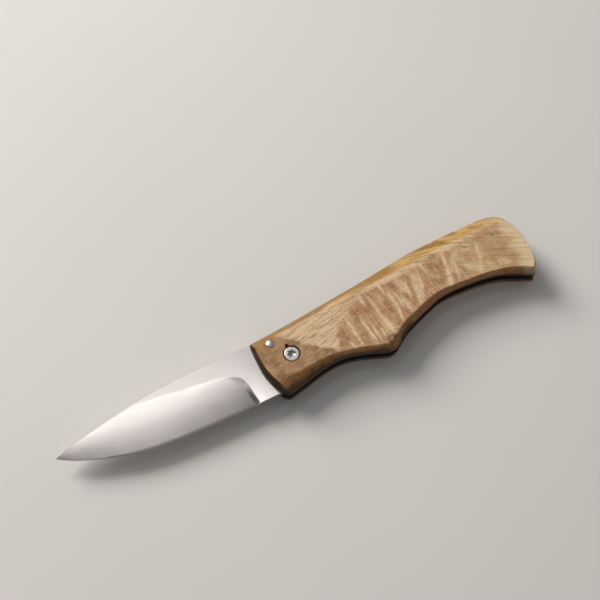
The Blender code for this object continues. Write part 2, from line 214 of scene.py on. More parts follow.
# The rounded bevel from the cover's edge to its flat: inward, then up, in bevels
crown_shares = (
    (0.012, 0.010),
    (0.050, 0.080),
    (0.120, 0.185),
    (0.210, 0.305),
    (0.300, 0.420),
    (0.410, 0.545),
    (0.520, 0.660),
    (0.620, 0.755),
    (0.730, 0.845),
    (0.830, 0.915),
    (0.910, 0.960),
    (0.965, 0.986),
    (1.010, 0.998),
    (1.050, 1.000),
)
backspacer_end_shares = (0.06, 0.62)
spacer_pin_shares = (0.10, 0.46, 0.93)

# Outlines of the blade from the handle to the tip: along in blade lengths, up in blade heights
spine_shares = (
    (0.110, 0.498),
    (0.228, 0.477),
    (0.340, 0.449),
    (0.448, 0.414),
    (0.560, 0.352),
    (0.680, 0.260),
    (0.800, 0.152),
    (0.910, 0.036),
    (1.000, -0.080),
)
grind_shares = (
    (0.258, 0.096),
    (0.304, 0.158),
    (0.370, 0.184),
    (0.440, 0.200),
    (0.530, 0.243),
    (0.630, 0.274),
    (0.770, 0.292),
    (1.000, 0.300),
)
edge_shares = (
    (0.170, -0.506),
    (0.253, -0.518),
    (0.360, -0.540),
    (0.467, -0.552),
    (0.560, -0.553),
    (0.640, -0.540),
    (0.710, -0.501),
    (0.775, -0.439),
    (0.859, -0.338),
    (0.940, -0.212),
    (1.000, -0.080),
)

# The plunge from the grind line down to the heel: how far down, then how far back in plunge reaches
plunge_shares = (
    (0.00, 0.00),
    (0.07, 0.30),
    (0.17, 0.56),
    (0.31, 0.73),
    (0.47, 0.80),
    (0.64, 0.86),
    (0.82, 0.93),
    (1.00, 1.00),
)
plunge_steps = 5
plunge_step_shares = (0.01, 0.03, 0.06, 0.10, 0.15, 0.21, 0.28, 0.37, 0.48, 0.61, 0.78, 1.00)
last_station_share = 0.9985
tip_shoulder_share = 0.3
grind_round = 0.045
bevel_belly = 0.30

# Rows on the flat above the grind line: how far up at most, and at most in shares of the flat
flat_rows = ((0.0020, 0.6), (0.0006, 0.3))
ease_share = 0.3

# Heights from the floor up
slot_width = blade_stock + 2 * (washer_thickness + blade_play)
slot_floor = cover_thickness + liner_thickness
middle = slot_floor + slot_width / 2
slot_roof = slot_floor + slot_width
front_inner = slot_roof + liner_thickness
front_face = front_inner + cover_thickness
screw_top = front_face - head_recess
screw_floor = screw_top - head_height

# Sizes that follow from the ones above
head_radius = barrel_radius + head_lip
bore_radius = barrel_radius + pin_play
washer_radius = barrel_radius + washer_width
stop_bore_radius = stop_radius + pin_play
spacer_bore_radius = spacer_pin_radius + pin_play
stop_place = (stop_along, stop_up)
stop_distance = math.hypot(stop_along, stop_up)
stop_angle = math.atan2(stop_up, stop_along)
relief_radius = stop_distance - stop_radius - tang_relief


# Meshes


def make_object(name, mesh, material=None):
    """An object of this mesh, with sharp edges where its faces meet at more than the smooth limit."""
    built = bpy.data.objects.new(name, mesh)
    bpy.context.scene.collection.objects.link(built)
    if material:
        mesh.materials.append(material)
    mesh.set_sharp_from_angle(angle=smooth_limit)
    return built


def mesh_from(name, shape, flat_faces=()):
    """A mesh of this bmesh with its faces turned outwards, all of them smooth but the flat ones."""
    for face in shape.faces:
        face.smooth = face not in flat_faces
    bmesh.ops.recalc_face_normals(shape, faces=shape.faces)
    mesh = bpy.data.meshes.new(name)
    shape.to_mesh(mesh)
    shape.free()
    return mesh


def smooth_path(points, steps):
    """Points on a smooth curve through these ones, with so many steps to each span."""
    points = [Vector(point) for point in points]
    gaps = [math.sqrt((end - start).length) for start, end in zip(points, points[1:])]
    slopes = [(end - start) / gap for start, end, gap in zip(points, points[1:], gaps)]
    tangents = [slopes[0]]
    for i in range(1, len(slopes)):
        weight = gaps[i - 1] / (gaps[i - 1] + gaps[i])
        tangents.append(slopes[i - 1].lerp(slopes[i], weight))
    tangents.append(slopes[-1])
    path = []
    for i, gap in enumerate(gaps):
        for step in range(steps):
            part = step / steps
            swing = part * part * (3 - 2 * part)
            leave = part * (1 - part) * (1 - part) * gap
            arrive = part * part * (part - 1) * gap
            place = points[i].lerp(points[i + 1], swing)
            path.append(place + tangents[i] * leave + tangents[i + 1] * arrive)
    path.append(points[-1])
    return path


def spread(path, shares):
    """Points on the path at these shares of its length."""
    lengths = [0]
    for start, end in zip(path, path[1:]):
        lengths.append(lengths[-1] + (end - start).length)
    points = []
    for share in shares:
        length = share * lengths[-1]
        i = min(bisect.bisect_right(lengths, length), len(path) - 1)
        part = (length - lengths[i - 1]) / (lengths[i] - lengths[i - 1])
        points.append(path[i - 1].lerp(path[i], part))
    return points


def resample(path, count):
    """So many points on the path, each the same share of its spans from the next."""
    points = []
    for i in range(count):
        place = i * (len(path) - 1) / (count - 1)
        start = min(int(place), len(path) - 2)
        points.append(path[start].lerp(path[start + 1], place - start))
    return points


def move_left(path, insets):
    """The path with each of its points moved to the left of its way by its own inset."""
    moved = []
    for i, point in enumerate(path):
        before = path[max(i - 1, 0)]
        after = path[min(i + 1, len(path) - 1)]
        way = (after - before).normalized()
        moved.append(point + Vector((-way.y, way.x)) * insets[i])
    return moved


def lengthen(path, reach):
    """The path with a straight run of this reach added at both ends."""
    start_way = (path[0] - path[1]).normalized()
    end_way = (path[-1] - path[-2]).normalized()
    return [path[0] + start_way * reach] + path + [path[-1] + end_way * reach]


def crossing(first, second):
    """Where the end of one path crosses the start of the next, and both of the spans that cross."""
    for i in reversed(range(len(first) - 1)):
        for j in range(len(second) - 1):
            point = intersect_line_line_2d(first[i], first[i + 1], second[j], second[j + 1])
            if point:
                return i, j, point


def handle_sides():
    """The front, the belly and the back as smooth paths, and the bevel's width at each point."""
    tables = (front_shares, belly_shares, back_shares)
    full_sizes = (handle_length, handle_height, bevel_width)
    sides = []
    for i, rows in enumerate(tables):
        corner = tables[(i + 1) % len(tables)][0]
        rows = rows + ((corner[0], corner[1], rows[-1][2]),)
        places = [tuple(share * size for share, size in zip(row, full_sizes)) for row in rows]
        points = smooth_path(places, span_steps)
        line = [Vector((point.x, min(point.y, cad_box[1].y))) for point in points]
        sides.append((line, [point.z for point in points]))
    return sides


def handle_loops():
    """The handle's outline and the edge of its flat inside the bevel, point for point."""
    sides = handle_sides()
    inner = [lengthen(move_left(path, widths), 2 * bevel_width) for path, widths in sides]
    corners = [crossing(inner[i - 1], inner[i]) for i in range(len(inner))]
    outline = []
    flat = []
    for i, (path, _) in enumerate(sides):
        _, first, start = corners[i]
        last, _, end = corners[(i + 1) % len(corners)]
        run = [start] + inner[i][first + 1:last + 1] + [end]
        outline += path[:-1]
        flat += resample(run, len(path))[:-1]
    return outline, flat


def ring(shape, points, height):
    """New points of the mesh at these places, all at one height."""
    return [shape.verts.new((point.x, point.y, height)) for point in points]


def join_rings(shape, first, second):
    """Faces all round between two rings that have as many points."""
    for i in range(len(first)):
        after = (i + 1) % len(first)
        shape.faces.new((first[i], first[after], second[after], second[i]))


def stack_mesh(name, layers):
    """A closed mesh through rings of points, each (points, height), with flat faces on its ends."""
    shape = bmesh.new()
    rings = [ring(shape, points, height) for points, height in layers]
    for first, second in zip(rings, rings[1:]):
        join_rings(shape, first, second)
    ends = (shape.faces.new(rings[0]), shape.faces.new(rings[-1]))
    return mesh_from(name, shape, ends)


def turned_mesh(name, profile, place=(0, 0)):
    """A round piece, from a profile of (radius, height) that starts and ends on the axis."""
    shape = bmesh.new()
    line = [shape.verts.new((radius, 0, height)) for radius, height in profile]
    edges = [shape.edges.new(pair) for pair in zip(line, line[1:])]
    bmesh.ops.spin(
        shape,
        geom=line + edges,
        cent=(0, 0, 0),
        axis=(0, 0, 1),
        angle=2 * math.pi,
        steps=round_steps,
        use_merge=True,
    )
    on_axis = [vert for vert in shape.verts if vert.co.xy.length < seam_gap]
    bmesh.ops.remove_doubles(shape, verts=on_axis, dist=seam_gap)
    bmesh.ops.translate(shape, verts=shape.verts, vec=(*place, 0))
    return mesh_from(name, shape)


def eased(profile):
    """The profile with each corner off the axis rounded by the rim ease."""
    points = [Vector(point) for point in profile]
    rounded = [points[0]]
    for before, corner, after in zip(points, points[1:], points[2:]):
        reach_in = min(rim_ease, (before - corner).length * corner_share)
        reach_out = min(rim_ease, (after - corner).length * corner_share)
        start = corner + (before - corner).normalized() * reach_in
        end = corner + (after - corner).normalized() * reach_out
        for step in range(corner_steps + 1):
            part = step / corner_steps
            rounded.append(start.lerp(corner, part).lerp(corner.lerp(end, part), part))
    rounded.append(points[-1])
    return [tuple(point) for point in rounded]


def baked(piece, tools=()):
    """The piece cut by the tools and made one plain mesh, with the tools taken away."""
    for tool in tools:
        hole = piece.modifiers.new(tool.name, "BOOLEAN")
        hole.operation = "DIFFERENCE"
        hole.solver = "EXACT"
        hole.object = tool
    depsgraph = bpy.context.evaluated_depsgraph_get()
    mesh = bpy.data.meshes.new_from_object(piece.evaluated_get(depsgraph))
    piece.modifiers.clear()
    piece.data = mesh
    for tool in tools:
        bpy.data.objects.remove(tool, do_unlink=True)
    mesh.set_sharp_from_angle(angle=smooth_limit)
    for face in mesh.polygons:
        face.use_smooth = abs(face.normal.z) < level_limit
    return piece


def drill(radius, low, high, place=(0, 0), mouth=None):
    """A tool for a round hole, opened out to an eased rim at the mouth's height."""
    rim = []
    if mouth is not None:
        rim = [(radius + rim_ease * out, mouth - rim_ease * down) for out, down in rim_shares]
    widest = rim[0][0] if rim else radius
    profile = [(0, high), (widest, high)] + rim + [(radius, low), (0, low)]
    return make_object("drill", turned_mesh("drill", profile, place))


def pin_holes(low, high, pin_places):
    """Tools for the holes of the backspacer's pins between two heights."""
    return [drill(spacer_bore_radius, low, high, place) for place in pin_places]


def place_piece(piece, body, *nodes, slot):
    """Let the piece ride on its body and stand for these nodes of the model."""
    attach(piece, body)
    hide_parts(*nodes)


# Materials


def feed(tree, socket, value):
    """Link a node's output to this input, or set the input to a plain number, colour or vector."""
    if isinstance(value, bpy.types.NodeSocket):
        tree.links.new(value, socket)
    elif socket.type == "RGBA":
        socket.default_value = (*value, 1)
    else:
        socket.default_value = value


def add_node(tree, kind, values, **settings):
    """A node of this kind with its settings, and with its inputs fed by name or by number."""
    node = tree.nodes.new(kind)
    for name, setting in settings.items():
        setattr(node, name, setting)
    for name, value in values.items():
        feed(tree, node.inputs[name], value)
    return node


class Finish:
    """A node material, with short ways to add the nodes that it is mixed from."""

    def __init__(self, name, metallic=0.0):
        self.material = bpy.data.materials.new(name)
        self.material.use_nodes = True
        self.tree = self.material.node_tree
        self.shader = self.tree.nodes["Principled BSDF"]
        self.shader.inputs["Metallic"].default_value = metallic
        source = self.add("TexCoord", {})
        self.normal = source.outputs["Normal"]
        self.place = self.vector("SCALE", source.outputs["Object"], scale=millimetres)

    def add(self, kind, values, **settings):
        return add_node(self.tree, "ShaderNode" + kind, values, **settings)

    def math(self, operation, first, second=0.0):
        return self.add("Math", {0: first, 1: second}, operation=operation).outputs[0]

    def plus(self, first, second):
        return self.math("ADD", first, second)

    def minus(self, first, second):
        return self.math("SUBTRACT", first, second)

    def times(self, product, *factors):
        for factor in factors:
            product = self.math("MULTIPLY", product, factor)
        return product

    def larger(self, first, second):
        return self.math("MAXIMUM", first, second)

    def vector(self, operation, first, second=None, scale=None):
        values = {0: first}
        if second is not None:
            values[1] = second
        if scale is not None:
            values["Scale"] = scale
        node = self.add("VectorMath", values, operation=operation)
        return node.outputs["Value" if operation in ("LENGTH", "DOT_PRODUCT") else "Vector"]

    def parts(self, vector):
        return self.add("SeparateXYZ", {0: vector}).outputs[:3]

    def joined(self, x, y, z=0.0):
        return self.add("CombineXYZ", {0: x, 1: y, 2: z}).outputs[0]

    def ramp(self, value, low, high, to_low=0.0, to_high=1.0):
        """The value brought from one range to another, eased at both ends and kept inside."""
        values = {"Value": value, "From Min": low, "From Max": high, "To Min": to_low, "To Max": to_high}
        return self.add("MapRange", values, interpolation_type="SMOOTHSTEP").outputs[0]

    def noise(self, place, size, detail=3.0, roughness=0.5, warp=0.0):
        """Cloudy noise from 0 to 1, with clouds of this size."""
        values = {"Vector": place, "Scale": 1 / size, "Detail": detail, "Roughness": roughness}
        values["Distortion"] = warp
        return self.add("TexNoise", values).outputs[0]

    def mix(self, share, first, second):
        """Two colours mixed by this share of the second."""
        return self.add("Mix", {0: share, 6: first, 7: second}, data_type="RGBA").outputs[2]

    def tint(self, colour, tone, value, low, high, most=1.0):
        """The colour with up to this share of the tone, the more the further the value is past low."""
        return self.mix(self.ramp(value, low, high, 0.0, most), colour, tone)

    def reach(self, place, rows, blunt=False):
        """How far out a place lies from the nearest long spot: 0 at its middle and 1 at its rim."""
        least = None
        level = self.vector("MULTIPLY", place, in_plane)
        for start_x, start_y, end_x, end_y, width in rows:
            run_x = end_x - start_x
            run_y = end_y - start_y
            values = {
                "Vector": level,
                "Location": ((start_x + end_x) / 2, (start_y + end_y) / 2, 0),
                "Rotation": (0, 0, math.atan2(run_y, run_x)),
                "Scale": ((math.hypot(run_x, run_y) + width) / 2, width / 2, 1),
            }
            local = self.add("Mapping", values, vector_type="TEXTURE").outputs[0]
            if blunt:
                along, aside, _ = self.parts(local)
                local = self.joined(self.times(along, along), aside)
            out = self.vector("LENGTH", local)
            least = out if least is None else self.math("MINIMUM", least, out)
        return least

    def spots(self, place, rows, soft):
        """How far a place lies in the nearest of some long spots, each (x, y, to x, to y, width)."""
        return self.ramp(self.reach(place, rows), 1.0, 1.0 - soft)

    def patch(self, place, rows, soft, inside, outside=0.0):
        """One share inside such spots and another outside, with a softer change between them."""
        return self.ramp(self.spots(place, rows, soft), 0.0, 1.0, outside, inside)

    def left_of(self, place, start, end):
        """How many millimetres a place lies to the left of the line from start to end."""
        way = (Vector(end) - Vector(start)).normalized()
        left = Vector((-way.y, way.x, 0))
        return self.minus(self.vector("DOT_PRODUCT", place, left), left.xy.dot(Vector(start)))

    def finish(self, colour, roughness, height, depth):
        """The material with this colour and roughness, and a relief of this depth in metres."""
        bump = self.add("Bump", {"Strength": 1.0, "Distance": depth, "Height": height}).outputs[0]
        for name, value in (("Base Color", colour), ("Roughness", roughness), ("Normal", bump)):
            feed(self.tree, self.shader.inputs[name], value)
        return self.material


# Tones of the wood
cream = (0.88, 0.68, 0.44)
pale_tan = (0.70, 0.49, 0.285)
field_pale = (0.79, 0.59, 0.365)
tan = (0.55, 0.335, 0.162)
rose = (0.47, 0.226, 0.120)
brown = (0.26, 0.122, 0.044)
land_pale = (0.47, 0.278, 0.138)
land_dark = (0.25, 0.130, 0.060)
land_shade = (0.17, 0.080, 0.032)
gold = (0.38, 0.172, 0.014)
olive = (0.27, 0.150, 0.024)
spine_dark = (0.20, 0.098, 0.016)
straw = (0.60, 0.37, 0.135)
orange = (0.42, 0.180, 0.045)
red_brown = (0.42, 0.155, 0.045)
# A near-black brown for painted shade: on the belly's low edge, in the nick, on the front end faces, and
# in the belly bevel's dark lines
painted_shade_brown = (0.035, 0.016, 0.007)
pore_brown = (0.23, 0.100, 0.045)
knot_dark = (0.070, 0.032, 0.014)
knot_gold = (0.46, 0.25, 0.09)

# The wood's figure, in millimetres: each row is x, y, to x, to y, width
pale_bars = (
    (23.3, 9.4, 24.9, 2.7, 0.9),
    (24.6, 3.6, 25.6, -3.0, 1.8),
    (25.5, -3.4, 26.3, -7.4, 1.1),
    (30.0, 1.8, 31.6, -8.4, 1.4),
    (32.6, -1.0, 33.3, -8.3, 1.2),
    (35.2, -4.0, 35.6, -8.0, 1.0),
    (36.6, 6.6, 37.8, -0.8, 1.4),
    (37.9, -0.8, 39.4, -6.4, 2.8),
    (41.4, 14.8, 42.7, 9.0, 1.2),
    (44.0, 8.6, 44.9, 1.8, 2.1),
    (44.8, 1.6, 44.6, -4.6, 1.3),
    (46.6, 6.4, 47.1, 1.0, 0.9),
    (32.7, 13.2, 33.4, 8.0, 1.5),
    (60.4, 15.0, 61.2, 11.8, 1.0),
    (70.4, 14.4, 69.7, 9.4, 1.4),
    (69.7, 9.2, 68.4, 3.4, 2.2),
    (73.4, 12.4, 72.6, 3.2, 1.2),
    (84.9, 14.2, 84.2, 9.8, 1.2),
    (84.1, 9.6, 81.8, 3.2, 1.7),
    (80.0, 15.8, 82.5, 14.8, 1.0),
    (79.0, 14.0, 81.4, 13.0, 0.9),
    (22.4, -4.9, 23.5, -8.5, 1.2),
    (52.0, 10.4, 51.2, 3.0, 1.1),
    (54.6, 7.4, 54.0, -0.6, 1.4),
    (58.2, 12.0, 57.4, 5.0, 1.0),
)
pale_fields = (
    (56.6, 13.4, 55.2, -0.2, 4.6),
    (48.0, 5.6, 49.4, -1.4, 3.6),
    (68.8, 4.2, 68.0, 1.6, 3.4),
    (76.6, 8.0, 82.4, 3.2, 5.2),
    (103.5, 12.0, 103.5, -3.0, 4.6),
    (97.0, 17.0, 101.5, 11.5, 3.0),
    (48.6, 13.6, 51.8, 4.6, 4.4),
    (90.0, 4.0, 94.0, 2.4, 4.0),
)
brown_fields = (
    (20.6, 3.0, 22.0, -3.4, 2.6),
    (34.5, 11.8, 34.8, 6.4, 3.8),
    (27.6, 7.6, 29.0, 1.6, 3.4),
    (28.2, -2.4, 29.0, -6.0, 2.8),
    (41.6, 6.6, 42.2, 0.6, 3.4),
    (46.4, 12.4, 47.2, 8.6, 2.2),
    (62.0, 13.4, 68.0, 11.2, 4.0),
    (60.4, 6.6, 66.4, 4.4, 4.0),
    (88.0, 17.2, 99.0, 14.6, 3.0),
    (25.0, -5.8, 36.5, -8.8, 4.6),
    (39.4, -7.6, 42.4, -4.2, 3.0),
    (64.0, 15.6, 68.6, 16.4, 3.4),
)
# Single places in the same terms: one of painted shade in the blade's plunge, and the others on the wood
plunge_shade_place = (-20.4, -3.6, -18.3, -12.8, 2.7)
shade_place = (-7.5, -8.0, 3.0, -10.2, 5.8)
gold_place = (-10.4, 8.0, -8.4, 3.6, 4.4)
clean_place = (14.0, -2.2, 19.0, -4.2, 3.6)
knot_place = (37.4, -9.8, 38.8, -10.9, 7.6)
corner_place = (98.6, -3.2, 103.0, -5.0, 4.6)

# Tones of the other finishes, each from its darker to its paler
blade_tones = ((0.70, 0.665, 0.650), (0.76, 0.725, 0.705))
# Painted shade in the blade's plunge
plunge_shade_tone = (0.20, 0.185, 0.178)
turned_tones = ((0.74, 0.715, 0.69), (0.82, 0.795, 0.77))
# Painted shade in the screw's socket
socket_shade_tone = (0.09, 0.085, 0.08)
fibre_tones = ((0.012, 0.011, 0.010), (0.042, 0.037, 0.033))
bronze_tones = ((0.52, 0.30, 0.12), (0.70, 0.46, 0.21))
floor_tones = ((0.74, 0.735, 0.72), (0.79, 0.785, 0.775))

# How the wood's grain rises from the front, bends and falls towards the butt, in millimetres
grain_slope = 0.27
grain_bend = 0.00441
bend_start = 8.0
bend_run = 76.0
butt_slope = 0.67


class Figure(Finish):
    """The wood's finish, with the places and the noise that the parts of its figure share."""

    def __init__(self, name):
        super().__init__(name)
        self.x, self.y, self.z = self.parts(self.place)
        self.face_x, self.face_y, self.face_z = self.parts(self.normal)
        both = self.vector("ADD", self.shaken(4.0, 0.7), self.shaken(0.9, 0.45))
        self.bent = self.vector("SCALE", both, scale=0.5)
        self.up = self.minus(self.y, self.rise())
        # Each grain's squeeze, its size in millimetres, and its detail, roughness and warp
        self.lines = self.grain(0.045, 0.50, 4.0, 0.62, 0.3)
        self.threads = self.grain(0.09, 0.36, 3.0, 0.6, 0.2)
        self.broad = self.grain(0.08, 2.2, 3.0, 0.5, 0.4)
        # The same without the squeeze, for noise that is alike in every direction
        self.cloud = self.noise(self.place, 6.0, 3.0, 0.55)
        self.speck = self.noise(self.place, 0.30, 3.0, 0.65)
        self.level = self.math("ABSOLUTE", self.face_z)
        self.height = self.math("ABSOLUTE", self.minus(self.z, middle * millimetres))
        self.on_bevel = self.ramp(self.level, 0.999, 0.950)

    def rise(self):
        """How far the grain has risen at this distance from the pivot."""
        run = self.math("MINIMUM", self.larger(self.minus(self.x, bend_start), 0.0), bend_run)
        bend = self.times(self.math("POWER", run, 2.0), grain_bend)
        rear_run = self.larger(self.minus(self.x, bend_start + bend_run), 0.0)
        rise = self.minus(self.times(self.x, grain_slope), bend)
        return self.minus(rise, self.times(rear_run, butt_slope))

    def grain(self, squeeze, *noise):
        """Noise drawn out along the grain, the more the smaller the squeeze."""
        return self.noise(self.joined(self.times(self.x, squeeze), self.up, self.z), *noise)

    def shaken(self, size, reach):
        """The place in the cover's plane, pushed about by noise of this size."""
        push = self.add("TexNoise", {"Vector": self.place, "Scale": 1 / size, "Detail": 3.0})
        centred = self.vector("SUBTRACT", push.outputs["Color"], (0.5, 0.5, 0.5))
        moved = self.vector("ADD", self.place, self.vector("SCALE", centred, scale=2 * reach))
        return self.vector("MULTIPLY", moved, in_plane)


def curly_wood(wood):
    """The curly middle and the plainer rear, with a pale streak, patches and cross bars."""
    tilt = wood.plus(wood.x, wood.times(wood.y, 0.183))
    ripple = wood.noise(wood.joined(tilt, wood.times(wood.y, 0.20), wood.z), 0.95, 3.0, 0.6, 0.5)
    rear = wood.ramp(wood.plus(wood.x, wood.times(wood.cloud, 12.0)), 72.0, 84.0)
    dark = wood.mix(rear, rose, tan)
    colour = wood.tint(dark, wood.mix(rear, tan, pale_tan), wood.cloud, 0.38, 0.66)
    below_crease = wood.left_of(wood.bent, (90.0, 19.6), (0.0, 9.1))
    streak = wood.times(
        wood.ramp(below_crease, 2.4, 0.9),
        wood.ramp(wood.x, 27.0, 38.0, 0.0, 0.80),
        wood.ramp(wood.x, 92.0, 84.0),
        wood.ramp(wood.broad, 0.62, 0.42),
    )
    colour = wood.mix(streak, colour, cream)
    colour = wood.mix(wood.patch(wood.bent, brown_fields, 0.7, 0.5), colour, brown)
    colour = wood.mix(wood.patch(wood.bent, pale_fields, 0.7, 0.85), colour, field_pale)
    curl = wood.times(wood.ramp(ripple, 0.50, 0.68), wood.ramp(wood.x, 90.0, 76.0, 0.10, 0.48))
    beads = wood.ramp(wood.noise(wood.place, 0.9, 2.0), 0.36, 0.54, 0.30, 1.0)
    out = wood.reach(wood.bent, pale_bars, blunt=True)
    bars = wood.times(wood.ramp(out, 1.0, 0.35), beads)
    colour = wood.tint(colour, brown, ripple, 0.46, 0.30, 0.40)
    colour = wood.tint(colour, cream, out, 2.1, 0.9, 0.26)
    return wood.mix(wood.larger(bars, curl), colour, cream)


def land_and_fan(wood, colour):
    """The plain land round the pivot and the fan of open pores past it: colour, fan and its tone."""
    past_land = wood.left_of(wood.shaken(5.0, 1.3), (0.1, 6.2), (17.2, -6.8))
    loose = wood.shaken(2.5, 1.8)
    fan_side = wood.left_of(loose, (17.4, -6.4), (22.0, 6.0))
    fan_top = wood.left_of(loose, (19.0, 1.0), (35.0, 12.4))
    ragged = wood.times(wood.minus(wood.lines, 0.5), 9.0)
    before_curl = wood.plus(wood.larger(fan_side, fan_top), ragged)
    cloudy = wood.plus(wood.cloud, wood.times(wood.lines, 0.4))
    land = wood.tint(land_dark, land_pale, cloudy, 0.55, 0.85)
    shade = wood.spots(wood.bent, (shade_place,), 0.7)
    land = wood.mix(wood.times(shade, wood.ramp(wood.lines, 0.35, 0.60, 0.55, 0.95)), land, land_shade)
    land = wood.mix(wood.patch(wood.bent, (gold_place,), 0.8, 0.85), land, knot_gold)
    colour = wood.mix(wood.ramp(fan_side, -1.2, 0.8), colour, land)
    fan_start = wood.ramp(wood.plus(past_land, wood.times(ragged, 0.25)), -0.2, 0.9)
    fan = wood.times(fan_start, wood.ramp(before_curl, -0.6, 1.4))
    tone = wood.tint(pale_tan, cream, wood.threads, 0.42, 0.56)
    tone = wood.tint(tone, cream, wood.cloud, 0.45, 0.65, 0.5)
    tone = wood.tint(tone, tan, wood.x, 19.0, 28.0, 0.45)
    return wood.mix(fan, colour, tone), fan, tone


def fine_grain(wood, colour):
    """Fine dark and pale lines all over, and a cream rim at the butt, dimmed by painted shade where it
    turns to the end.
    """
    colour = wood.tint(colour, brown, wood.lines, 0.52, 0.70, 0.50)
    rim = wood.ramp(wood.plus(wood.x, wood.times(wood.cloud, 5.0)), 98.0, 104.0, 0.0, 0.90)
    # Painted shade: the rim dims on the faces that turn to the butt's end
    rim = wood.times(rim, wood.ramp(wood.face_x, 0.08, 0.45, 1.0, 0.30))
    colour = wood.mix(rim, colour, cream)
    long_lines = wood.ramp(wood.grain(0.03, 0.62, 3.0, 0.6), 0.50, 0.60, 0.0, 0.34)
    colour = wood.mix(wood.times(long_lines, wood.ramp(wood.x, 70.0, 84.0)), colour, brown)
    colour = wood.tint(colour, cream, wood.threads, 0.46, 0.32, 0.40)
    return wood.tint(colour, land_dark, wood.broad, 0.55, 0.80, 0.35)


def spine_bevel(wood, colour, fan_tone):
    """The golden bevel along the spine, pale where the fan runs over it and straw behind."""
    tone = wood.tint(gold, olive, wood.threads, 0.42, 0.60)
    tone = wood.tint(tone, pale_tan, wood.cloud, 0.50, 0.66, 0.22)
    tone = wood.tint(tone, pale_tan, wood.x, 84.0, 96.0, 0.85)
    tone = wood.tint(tone, brown, wood.lines, 0.48, 0.66, 0.8)
    streaked = wood.times(wood.ramp(wood.lines, 0.40, 0.58), wood.ramp(wood.x, 30.0, 16.0, 0.0, 0.70))
    tone = wood.mix(streaked, tone, spine_dark)
    outer = wood.ramp(wood.height, 6.2, 4.4)
    pale_stretch = wood.times(
        wood.ramp(wood.x, 15.0, 24.0),
        wood.ramp(wood.x, 38.0, 26.0, 0.0, 0.60),
        wood.ramp(outer, 0.0, 0.8, 1.0, 0.05),
    )
    tone = wood.mix(pale_stretch, tone, fan_tone)
    tone = wood.tint(tone, spine_dark, outer, 0.0, 1.0, 0.45)
    sunny = wood.times(wood.ramp(wood.x, 47.0, 56.0, 0.0, 0.80), wood.ramp(wood.broad, 0.62, 0.44))
    tone = wood.mix(sunny, tone, straw)
    share = wood.times(
        wood.on_bevel,
        wood.ramp(wood.face_y, 0.00, 0.14, 0.0, 0.95),
        wood.ramp(wood.height, 6.5, 5.9, 0.45, 1.0),
    )
    return wood.mix(share, colour, tone)


def belly_bevel(wood, colour):
    """The dark bevel along the belly, its brown partly the wood's and partly painted shade, darkest at
    its low edge: the colour, and how much painted shade it has.
    """
    rear = wood.ramp(wood.plus(wood.x, wood.times(wood.cloud, 8.0)), 48.0, 60.0)
    tone = wood.mix(rear, wood.tint(brown, orange, wood.cloud, 0.36, 0.54), red_brown)
    tone = wood.tint(tone, painted_shade_brown, wood.lines, 0.46, 0.64, 0.6)
    kept = wood.plus(wood.height, wood.plus(wood.times(rear, 1.6), wood.cloud))
    # Painted shade, growing towards the belly's low edge
    low = wood.ramp(kept, 6.3, 4.5)
    tone = wood.mix(wood.times(low, 0.95), tone, painted_shade_brown)
    share = wood.times(
        wood.on_bevel,
        wood.ramp(wood.face_y, 0.00, -0.14, 0.0, 0.94),
        wood.ramp(wood.height, 6.5, 5.6, 0.22, 1.0),
        wood.patch(wood.bent, (corner_place,), 0.4, 0.1, 1.0),
    )
    return wood.mix(share, colour, tone), wood.times(share, low)


def pores_and_specks(wood, colour, fan):
    """Open pores, painted shade in the nick by the screw, the knot and specks: the colour, and the
    pores.
    """
    open_wood = wood.larger(fan, wood.spots(wood.bent, (corner_place,), 0.5))
    open_wood = wood.times(open_wood, wood.patch(wood.bent, (clean_place,), 0.6, 0.15, 1.0))
    pore = wood.times(wood.ramp(wood.grain(0.06, 0.30, 1.0, 0.5), 0.57, 0.64), open_wood)
    colour = wood.mix(wood.times(pore, 0.75), colour, pore_brown)
    x, y, width = (value * millimetres for value in (*nick_place, 2 * nick_radius))
    # Painted shade in and around the nick by the screw's seat
    nick = wood.spots(wood.place, ((x, y, x + 0.2, y - 0.4, width),), 0.3)
    colour = wood.mix(wood.times(nick, wood.ramp(wood.z, 9.0, 10.0, 0.0, 0.85)), colour, painted_shade_brown)
    swirl = wood.tint(knot_dark, knot_gold, wood.noise(wood.place, 1.4, 2.0, 0.6, 2.4), 0.44, 0.56)
    colour = wood.mix(wood.patch(wood.bent, (knot_place,), 0.6, 0.95), colour, swirl)
    colour = wood.tint(colour, brown, wood.speck, 0.54, 0.68, 0.55)
    return wood.tint(colour, cream, wood.speck, 0.46, 0.32, 0.50), pore


def wood_finish():
    """Pale curly wood with cross bars, a fan of open pores, a knot, darker bevels and painted shade."""
    wood = Figure("figured_wood")
    colour, fan, fan_tone = land_and_fan(wood, curly_wood(wood))
    colour = spine_bevel(wood, fine_grain(wood, colour), fan_tone)
    colour, belly_shade = belly_bevel(wood, colour)
    colour, pore = pores_and_specks(wood, colour, fan)
    # Painted shade on the steep end faces that turn to the front
    steep = wood.ramp(wood.level, 0.85, 0.45, 0.0, 0.95)
    shaded_end = wood.times(steep, wood.ramp(wood.face_x, -0.25, -0.5))
    colour = wood.mix(shaded_end, colour, painted_shade_brown)
    relief = wood.plus(wood.times(wood.lines, 0.6), wood.times(wood.speck, 0.4))
    relief = wood.minus(relief, wood.times(pore, 0.3))
    oiled = wood.ramp(wood.broad, 0.2, 0.8, 0.40, 0.55)
    dull = wood.ramp(wood.larger(shaded_end, belly_shade), 0.0, 1.0, 0.0, 0.95)
    wood.shader.inputs["Specular IOR Level"].default_value = 0.28
    return wood.finish(colour, wood.larger(oiled, dull), relief, depth=0.00002)


